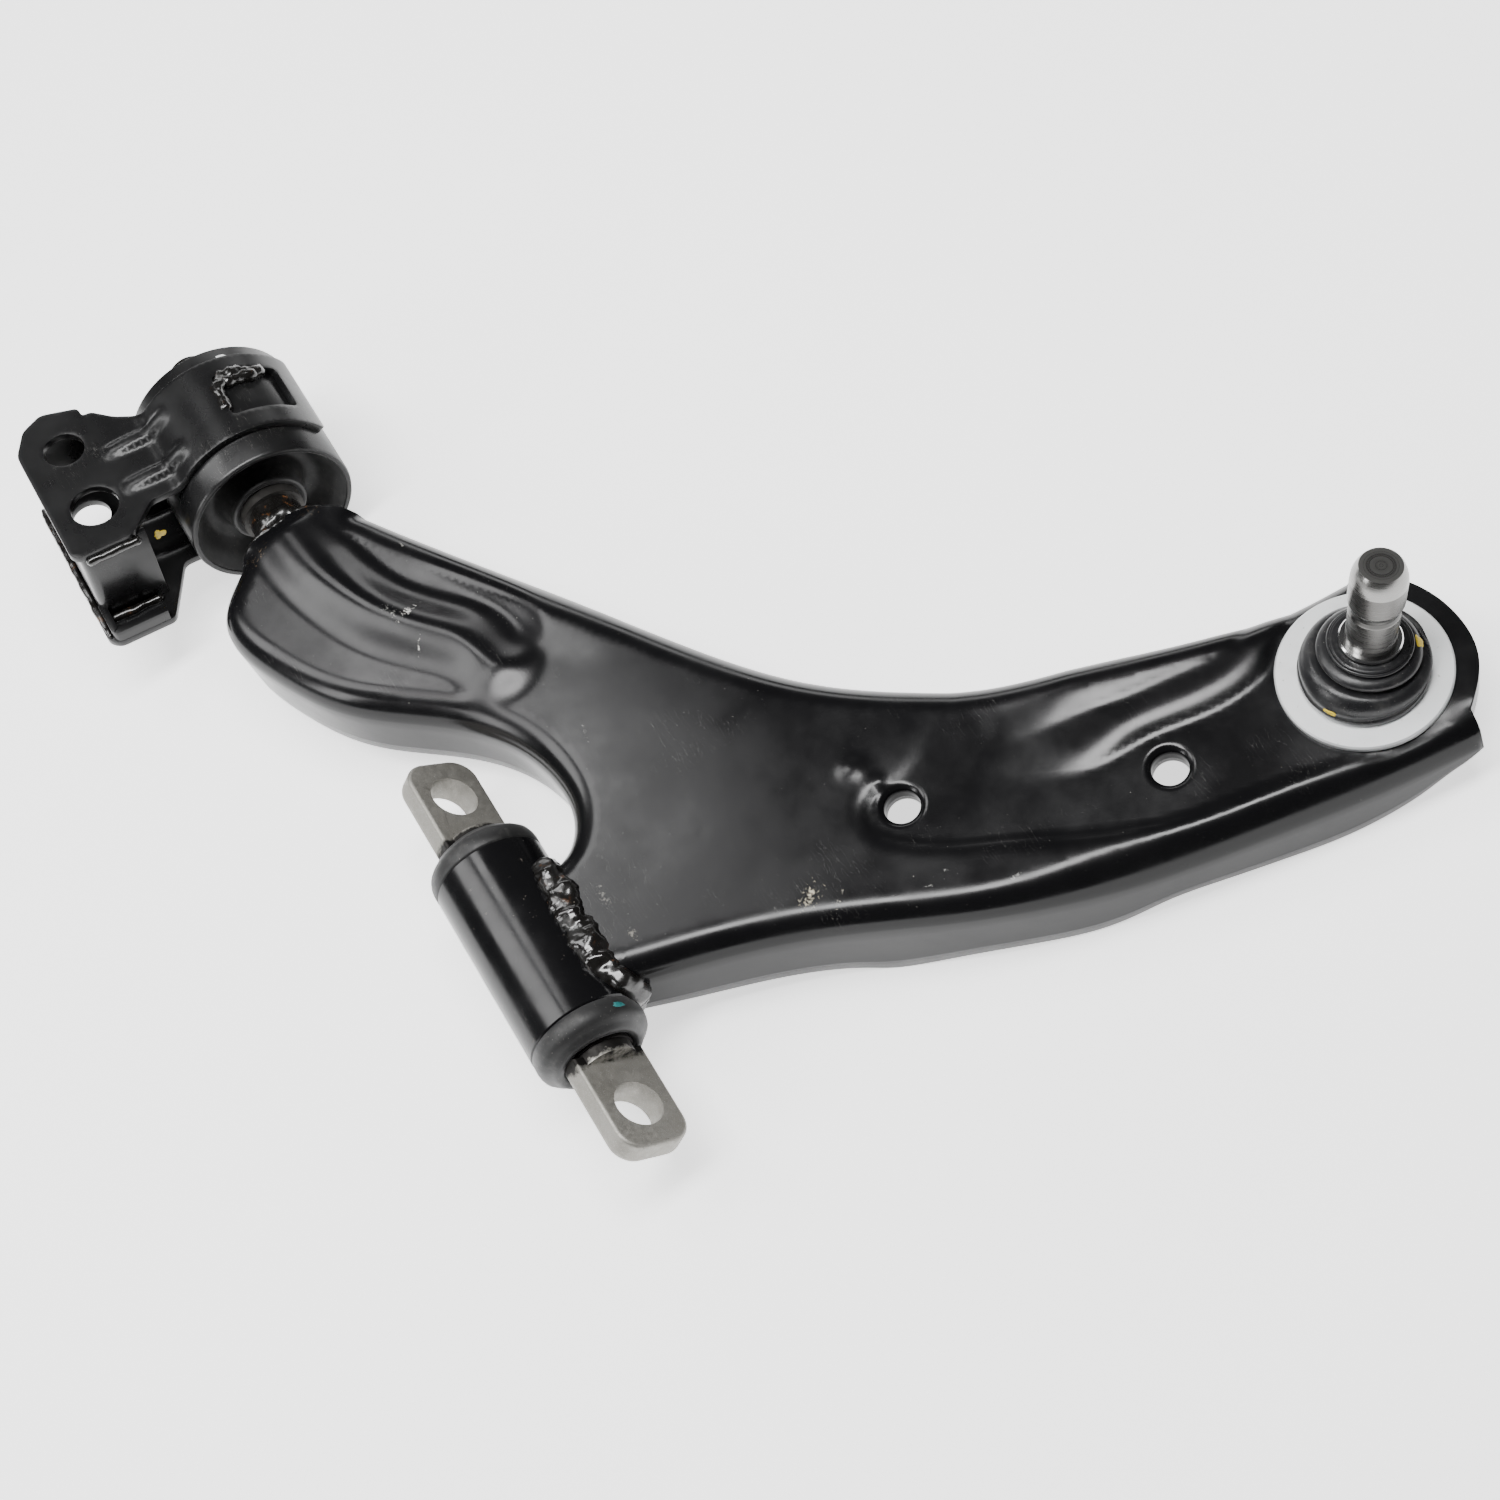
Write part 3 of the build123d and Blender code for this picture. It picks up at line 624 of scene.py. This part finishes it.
ring_ids = [where_from[i] for i in range(len(outline))]
sleeve_side = nearest(outline, edges["sleeve"])[0] < 0.1
low = np.where(sleeve_side, height[ring_ids] - 1.0, flange_low(outline))
wall(ring_ids, low, 5)
hole_low = 5.6
for start in (len(outline), len(outline) + hole_points):
    ids = [where_from[start + i] for i in range(hole_points)]
    wall(ids, [hole_low] * hole_points, 3)
arm = piece("arm_stamping_skin", verts, faces, "arm", arm_paint.material, ["arm_stamping"])
modifier(arm, "SOLIDIFY", thickness=skin * MM, offset=-1, use_even_offset=False)

# ---------------------------------------------------------------- beads on the arm
top_bead = spline([(-24, 23, 7), (-20, 21, 12.5), (-10, 19.8, 14.4), (4, 19.6, 14.8), (18, 19.8, 14.8),
                   (29, 21, 13.4), (36, 23, 9), (38, 23.5, 2), (37.5, 23.5, -6)], 0.8)
v, f = tube(top_bead, 6.6, sides=22, lump=2.6, seed=3.0)
piece("front_sleeve_bead", v, f, "arm", weld_black, ["front_sleeve_weld"])

angles = np.radians(np.linspace(-30, 200, 60))
collar_bead = [(-240.5 + 1.5 * math.sin(3 * a), 13.2 * math.cos(a), 13.2 * math.sin(a)) for a in angles]
edge_bead = spline([(-229, -19, 13), (-232.5, -12, 15), (-234.5, 0, 16), (-235, 12, 15.5),
                    (-231, 20, 14)], 0.8)
v, f = joined(tube(collar_bead, 3.6, lump=1.8, seed=5.0, normal=(1, 0, 0)),
              tube(edge_bead, 2.6, lump=1.5, seed=1.0))
piece("rear_pin_bead", v, f, "arm", weld_rusty, ["rear_pin_weld"])

# ---------------------------------------------------------------- bushes
pin_r, sleeve_r, rubber_end, sleeve_half = 14.1, 23.5, 53.0, 41.0


def rubber_face(side):
    """Half of the front rubber's section, from its bore round the flange to the sleeve."""
    out = [(pin_r, rubber_end - 4), (pin_r + 0.6, rubber_end - 1.2), (pin_r + 1.6, rubber_end - 0.2),
           (17.5, rubber_end), (18.6, rubber_end - 0.6), (19.4, rubber_end - 1.8), (20.4, rubber_end - 2.6),
           (21.6, rubber_end - 3.4), (22.8, rubber_end - 4.8), (23.3, rubber_end - 6.4),
           (23.5, rubber_end - 8), (23.45, sleeve_half + 0.8), (23.0, sleeve_half + 0.1),
           (22.2, sleeve_half - 0.4)]
    return [(r, side * h) for r, h in (out if side > 0 else out[::-1])]


for name, side in (("front_rubber_front", 1), ("front_rubber_rear", -1)):
    v, f = lathe(rubber_face(side), about_x, 128)
    v = [Vector(p) * (1 + 0.004 * noise.noise(Vector(p) * 0.12)) for p in v]
    piece(name, v, f, "arm", bush_rubber, ["front_bush_rubber"])

wall_r = 34.85
front_well = [(37.0, -255.2), (36.4, -254.9), (35.4, -255.3), (wall_r, -256), (34.2, -258.0), (32.6, -260.2),
              (30.8, -264), (28.0, -269.5), (25.0, -272.2), (21.5, -272.5), (19.5, -270.5), (18.4, -266),
              (17.6, -261), (17.2, -258.6), (16.6, -257.8), (15.6, -257.8), (15.1, -258.4), (14.1, -258.6)]
back_well = [(wall_r, -321), (33.5, -318), (30.0, -312), (26, -308.4), (21, -308), (18.5, -311), (17, -319),
             (16, -321), (14.1, -321)]
v, f = joined(lathe(front_well, about_x, 128), lathe(back_well[::-1], about_x, 128))
piece("rear_rubber_skin", v, f, "arm", bush_rubber, ["rear_bush_rubber"])

# ---------------------------------------------------------------- rear bracket
# the bracket lies in a frame rolled about the pivot axis: (x, out, up)
roll = math.radians(-12)
can_r, plate = 37.5, 3.5
strap_r, plate_up = can_r + plate, 25.0


def in_bracket(x, out, up):
    return (x, out * math.cos(roll) - up * math.sin(roll), out * math.sin(roll) + up * math.cos(roll))


bend_r = 8.0
bend_out = -math.sqrt((strap_r + bend_r) ** 2 - (plate_up + bend_r) ** 2)
bend_turn = math.pi / 2 - math.atan2(plate_up + bend_r, -bend_out)
plate_out = -87.0
flat_run = bend_out - plate_out
bend_run = bend_r * bend_turn


def bracket_profile(v):
    """Outer face of a bracket half, v millimetres along it from the plate's outboard edge: its place
    (out, up) and its outward normal."""
    if v <= flat_run:
        return (plate_out + v, plate_up), (0.0, 1.0)
    if v <= flat_run + bend_run:
        a = (v - flat_run) / bend_r
        place = (bend_out + bend_r * math.sin(a), plate_up + bend_r - bend_r * math.cos(a))
        return place, (-math.sin(a), math.cos(a))
    a = math.pi - math.atan2(plate_up + bend_r, -bend_out) - (v - flat_run - bend_run) / strap_r
    return (strap_r * math.cos(a), strap_r * math.sin(a)), (math.cos(a), math.sin(a))


def along_strap(degrees):
    """How far along the profile the strap is at this angle from the outboard-to-inboard line."""
    start = math.pi - math.atan2(plate_up + bend_r, -bend_out)
    return flat_run + bend_run + strap_r * (start - math.radians(degrees))


def rounded(corners, radius, step=1.6):
    """A closed ring with its corners rounded off and points about one step apart."""
    ring, count = [], len(corners)
    for i in range(count):
        a, b, c = (np.array(corners[(i + k - 1) % count], float) for k in range(3))
        r = min(radius, 0.45 * np.linalg.norm(a - b), 0.45 * np.linalg.norm(c - b))
        p, q = b + (a - b) / np.linalg.norm(a - b) * r, b + (c - b) / np.linalg.norm(c - b) * r
        for t in np.linspace(0, 1, 5):
            ring.append((1 - t) ** 2 * p + 2 * t * (1 - t) * b + t * t * q)
    out = []
    for p, q in zip(ring, ring[1:] + ring[:1]):
        n = max(1, round(np.linalg.norm(q - p) / step))
        out += [p + (q - p) * k / n for k in range(n)]
    return np.array(out)


bracket_bolts = [((-279, 19), 10.5), ((-315, 19), 9.0)]
rib_lines, rib_from, rib_to = (-303, -281), 33, 68
rib_half_width, rib_rise, rib_scoop = 4.6, 5.2, 2.4


def bracket_half(name, node, side, corners, window=None):
    """One pressed half of the bracket: flat plate, bend and strap, in one sheet."""
    ring = rounded(corners, 2.5)
    openings = [circle(place, radius, 48) for place, radius in bracket_bolts]
    if window is not None:
        openings.append(rounded(window, 3.0))
    made, triangles, _ = sheet_faces(ring, openings, np.empty((0, 2)), 1.9, 1.0)
    points = []
    for x, v in made:
        (out, up), (n_out, n_up) = bracket_profile(v)
        lift = 0.0
        for rib_x in rib_lines:
            across = abs(x - rib_x) / rib_half_width
            if across < 1 and rib_from < v < rib_to:
                t = (v - rib_from) / (rib_to - rib_from)
                swell = math.sin(math.pi * t)
                ends = min(1.0, 6 * t, 6 * (1 - t))
                lift = rib_rise * swell**0.8 * (0.5 + 0.5 * math.cos(math.pi * across)) ** 0.6
                lift -= rib_scoop * ends * math.exp(-((across / 0.42) ** 2)) * swell
        points.append(in_bracket(x, out + n_out * lift, side * (up + n_up * lift)))
    if side < 0:
        triangles = triangles[:, ::-1]
    obj = piece(name, points, triangles, "rear_bracket", bracket_paint.material, [node])
    modifier(obj, "SOLIDIFY", thickness=(plate - 0.1) * MM, offset=-1)
    modifier(obj, "BEVEL", width=0.5 * MM, segments=2, limit_method="ANGLE", angle_limit=math.radians(50))


strap_end = along_strap(30)
window_low, window_high = along_strap(45), along_strap(89)
wrap_back, wrap_front = -314.0, -269.0
meet = along_strap(138)
rear_side = [(wrap_back, strap_end), (wrap_back, meet), (-321, 45), (-329, 37), (-329, 33), (-334, 33),
             (-339, 17), (-334, 7), (-322, 0)]
bracket_half(
    "bracket_upper_skin", "bracket_upper", 1,
    [(-259, 0), (-256, 3), (-256, 27), (wrap_front, 41), (wrap_front, strap_end), *rear_side],
    window=[(-304.5, window_high), (-304.5, window_low), (-279.5, window_low),
            (-279.5, window_high)])
lower_end = along_strap(40)
lower_rear = [(wrap_back, lower_end), *rear_side[1:]]
bracket_half(
    "bracket_lower_skin", "bracket_lower", -1,
    [(-247, 0), (-243, 4), (-243, 30), (wrap_front, 45), (wrap_front, lower_end), *lower_rear])


def bent_strip(name, node, path, low, high, thickness):
    """A strip of the bracket's sheet stood on a flat path, from height low to high."""
    count, rows = len(path), 5
    verts = [in_bracket(x, y, low + (high - low) * r / (rows - 1)) for r in range(rows) for x, y in path]
    faces = [(r * count + k, r * count + k + 1, (r + 1) * count + k + 1, (r + 1) * count + k)
             for r in range(rows - 1) for k in range(count - 1)]
    obj = piece(name, verts, faces, "rear_bracket", bracket_paint.material, [node])
    modifier(obj, "SOLIDIFY", thickness=thickness * MM, offset=-1)
    modifier(obj, "BEVEL", width=0.4 * MM, segments=2, limit_method="ANGLE", angle_limit=math.radians(50))


def open_rounded(corners, radius):
    """An open path with its inner corners rounded."""
    path = [np.array(corners[0], float)]
    for a, b, c in zip(corners, corners[1:], corners[2:]):
        a, b, c = (np.array(q, float) for q in (a, b, c))
        p, q = b + (a - b) / np.linalg.norm(a - b) * radius, b + (c - b) / np.linalg.norm(c - b) * radius
        path += [(1 - t) ** 2 * p + 2 * t * (1 - t) * b + t * t * q for t in np.linspace(0, 1, 7)]
    return path + [np.array(corners[-1], float)]


bent_strip("bracket_spacer_skin", "bracket_spacer",
           open_rounded([(-331, -54), (-331, -84), (-257.5, -84), (-257.5, -54)], 6.0), -21.4, 21.4, 3.0)
# upturned lip of the lower plate
bent_strip("bracket_lip_skin", "bracket_lower",
           open_rounded([(-262, -84.5), (-243.2, -84.5), (-243.2, -59)], 4.0), -24.9, -15.5, 3.2)


# beads tie the strap to the housing and the spacer to the plates
def on_can(*places):
    """A curve just over the can, through places given as (x, degrees round the pivot axis)."""
    r = can_r + 1.2
    return spline([(x, r * math.cos(math.radians(a)), r * math.sin(math.radians(a))) for x, a in places], 0.8)


plug = on_can((-283, 79), (-290, 78.5), (-298, 77), (-303, 72), (-304, 62), (-304, 50), (-303, 41))
plug_filler = on_can((-300, 72), (-301, 60), (-301, 48))
off_can = (0, 0.6, 0.8)
v, f = joined(tube(plug, 3.6, lump=2.2, seed=2.0, normal=off_can),
              tube(plug_filler, 2.8, lump=1.8, seed=7.0, normal=off_can))
piece("strap_plug_bead", v, f, "rear_bracket", weld_black, ["strap_plug_weld"])
edge_paths = [
    ([in_bracket(-255.5, out, 20.6) for out in np.linspace(-82, -57, 34)], 2.0),
    ([in_bracket(-255.5, out, -20.6) for out in np.linspace(-82, -57, 34)], 2.0),
    ([in_bracket(x, -85.5, -21.0) for x in np.linspace(-330, -247, 90)], 1.7),
    ([in_bracket(x, -85.2, 21.6) for x in np.linspace(-328, -262, 80)], 0.9),
]
v, f = joined(*[tube(path, r, lump=0.6, seed=4.0 + i) for i, (path, r) in enumerate(edge_paths)])
piece("bracket_edge_beads", v, f, "rear_bracket", weld_black, ["bracket_edge_welds"])

# ---------------------------------------------------------------- ball joint boot
def boot_point(r, h, angle, tilt):
    """A point r off the boot's line at height h above the ball.

    The line leans by the given share of the stud's own lean.
    """
    axis = Vector((0, 0, 1)).lerp(stud_axis, tilt).normalized()
    side = Vector((1, 0, 0)) - axis * axis.x
    side.normalize()
    other = axis.cross(side)
    wobble = 1 + 0.004 * math.sin(3 * angle + h) + 0.003 * math.sin(5 * angle - h)
    return ball + axis * h + (side * math.cos(angle) + other * math.sin(angle)) * r * wobble


low_bulge = [(21.4, 7.3), (23.2, 7.3), (24.0, 8.0), (24.3, 9.0), (24.2, 10.0), (23.7, 10.6), (23.6, 11.1),
             (24.0, 12.0), (24.1, 13.1), (23.6, 14.4), (22.5, 15.5), (20.9, 16.2), (19.2, 16.2), (17.6, 16.0)]
high_bulge = [(17.6, 16.0), (17.4, 16.5), (18.0, 17.1), (19.0, 17.9), (19.4, 18.8), (19.2, 19.8),
              (18.3, 20.7), (16.9, 21.3), (15.4, 21.5), (14.7, 21.9), (14.9, 22.3), (15.7, 22.5),
              (16.0, 22.9), (15.9, 23.4), (15.3, 23.7), (14.9, 23.6), (14.5, 23.9), (13.6, 24.1),
              (12.6, 24.2), (11.7, 24.2), (11.4, 23.6), (9.8, 23.4)]


def boot_skin(name, profile, tilt_of):
    """One bulge of the boot, which goes over from the first body to the second between two heights."""
    smooth = [tuple(p) for p in spline(profile, 0.35)]
    v, f = lathe(smooth, lambda r, h, a: boot_point(r, h, a, tilt_of(h)), 112)
    obj = piece(name, v, f, None, boot_rubber, ["boot"])
    modifier(obj, "SOLIDIFY", thickness=1.6 * MM, offset=1)
    obj.data.flip_normals()
    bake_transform(obj)


valley = 16.2
boot_skin("boot_lower_bulge", low_bulge, lambda h: float(ease(h, 10.2, valley)))
boot_skin("boot_upper_bulge", high_bulge, lambda h: 1.0)

# ---------------------------------------------------------------- paint marks
def dab(name, width, length, place, body, material, seed):
    """A thin daub of paint. place(u, v, lift) lays its flat coordinates on a surface."""
    count, bands = 36, ((0.35, 0.28), (0.65, 0.25), (0.88, 0.18), (1.0, 0.02))
    reach = [1 + 0.5 * noise.noise(Vector((math.cos(a) * 1.4, math.sin(a) * 1.4, seed)))
             for a in np.linspace(0, 2 * math.pi, count, endpoint=False)]
    verts, faces = [place(0, 0, 0.28)], []
    for share, lift in bands:
        for k, r in enumerate(reach):
            a = 2 * math.pi * k / count
            u, v = width / 2 * share * r * math.cos(a), length / 2 * share * r * math.sin(a)
            verts.append(place(u, v, lift))
    faces += [(0, 1 + k, 1 + (k + 1) % count) for k in range(count)]
    for row in range(len(bands) - 1):
        a, b = 1 + row * count, 1 + (row + 1) * count
        faces += [(a + k, b + k, b + (k + 1) % count, a + (k + 1) % count) for k in range(count)]
    piece(name, verts, faces, body, material)


def round_x(x, degrees, r):
    """Lays a daub on a surface turned about the pivot axis."""
    return lambda u, v, lift: (x + u, (r + lift) * math.cos(math.radians(degrees) + v / r),
                               (r + lift) * math.sin(math.radians(degrees) + v / r))


dab("teal_daub", 2.6, 5.0, round_x(45.5, 43, sleeve_r), "arm", teal_mark, 3)
dab("white_daub", 2.6, 4.2, round_x(-317.5, 62, can_r), "rear_bracket", white_mark, 5)
dab("yellow_daub_bracket", 5.0, 5.5,
    lambda u, v, lift: in_bracket(-267.5 + lift, -48 + u, 4 + v), "rear_bracket", yellow_mark, 9)


def on_boot(degrees, h, r, tilt, slope):
    """Lays a daub on the boot, where its side leans inwards by slope degrees."""
    rise, inward = math.cos(math.radians(slope)), math.sin(math.radians(slope))
    return lambda u, v, lift: boot_point(r + lift * rise - v * inward, h + v * rise + lift * inward,
                                         math.radians(degrees) + u / r, tilt)


dab("yellow_daub_boot_top", 5.5, 4.0, on_boot(62, 20.6, 18.1, 1.0, 58), "boot_bellows", yellow_mark, 11)
dab("yellow_daub_boot_foot", 6.0, 2.0, on_boot(-66, 12.6, 24.0, 0.0, 8), "arm", yellow_mark, 13)

# ---------------------------------------------------------------- softened CAD edges
for node, width in (("bar_pin", 1.0), ("rear_nut", 0.8), ("rear_washer", 0.4), ("rear_bush_can", 0.4),
                    ("boot_clip", 0.3)):
    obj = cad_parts[node]
    modifier(obj, "WELD", merge_threshold=1e-5)
    modifier(obj, "BEVEL", width=width * MM, segments=3, limit_method="ANGLE", angle_limit=math.radians(35))

# ---------------------------------------------------------------- floor, light and camera
# the part rests on its rear strap and on two places along its front flange
rests = [Vector((-290, 0, -41.2)), Vector((75, 113, -29.2)), Vector((135, 284, -20.6))]
up = (rests[1] - rests[0]).cross(rests[2] - rests[0]).normalized()
centre = Vector((-60, 120, 0))
centre -= up * (centre - rests[0]).dot(up)
side = up.cross(Vector((0, 1, 0))).normalized()
other = up.cross(side)
floor_half = 6000
corners = [centre + (side * a + other * b) * floor_half for a, b in ((-1, -1), (1, -1), (1, 1), (-1, 1))]
floor_paint = Nodes("floor_paper", (0.8, 0.8, 0.8), 0.8, Emission_Color=(1, 1, 1, 1), Emission_Strength=1.5)
floor_paint.tint(floor_paint.range(floor_paint.noise(2.0, 3), 0.3, 0.7), (0.82, 0.82, 0.82))
floor = piece("floor", corners, [(0, 1, 2, 3)], None, floor_paint.material)
if (corners[1] - corners[0]).cross(corners[2] - corners[1]).dot(up) < 0:
    floor.data.flip_normals()


def lamp(name, place_m, aim_m, width_m, length_m, power):
    """A soft box. power is in watts."""
    data = bpy.data.lights.new(name, "AREA")
    data.shape, data.size, data.size_y, data.energy = "RECTANGLE", width_m, length_m, power
    obj = bpy.data.objects.new(name, data)
    obj.location = place_m
    obj.rotation_euler = (Vector(aim_m) - Vector(place_m)).to_track_quat("-Z", "Y").to_euler()
    scene.collection.objects.link(obj)


target_m = (-0.06, 0.12, 0.0)
lamp("overhead", (-0.05, -0.05, 1.5), (-0.05, -0.05, 0), 0.34, 1.5, 40)
lamp("back_box", (-1.03, -0.1, 1.5), target_m, 0.4, 0.5, 5.5)
lamp("left", (-0.1, -1.9, 0.9), target_m, 0.5, 0.9, 14)
lamp("far_left", (-0.82, -0.85, 1.3), (-0.16, 0.02, 0), 0.6, 1.0, 15)
lamp("rear", (-1.9, 0.6, 0.6), target_m, 1.8, 0.4, 8)
world = bpy.data.worlds.new("studio")
scene.world = world
world.use_nodes = True
world.node_tree.nodes["Background"].inputs["Color"].default_value = (1, 1, 1, 1)
world.node_tree.nodes["Background"].inputs["Strength"].default_value = 0.06

camera = bpy.data.objects.new("camera", bpy.data.cameras.new("camera"))
camera.data.lens, camera.data.sensor_width = 64.97, 36.0
camera.data.clip_start, camera.data.clip_end = 0.05, 20.0
right = Vector((0.49039, 0.83975, -0.23311))
top = Vector((-0.71595, 0.54070, 0.44166))
back = Vector((0.49693, -0.04969, 0.86637))
place = Matrix.Translation((0.50708, 0.05992, 0.92841))
camera.matrix_world = place @ Matrix((right, top, back)).transposed().to_4x4()
scene.collection.objects.link(camera)
scene.camera = camera
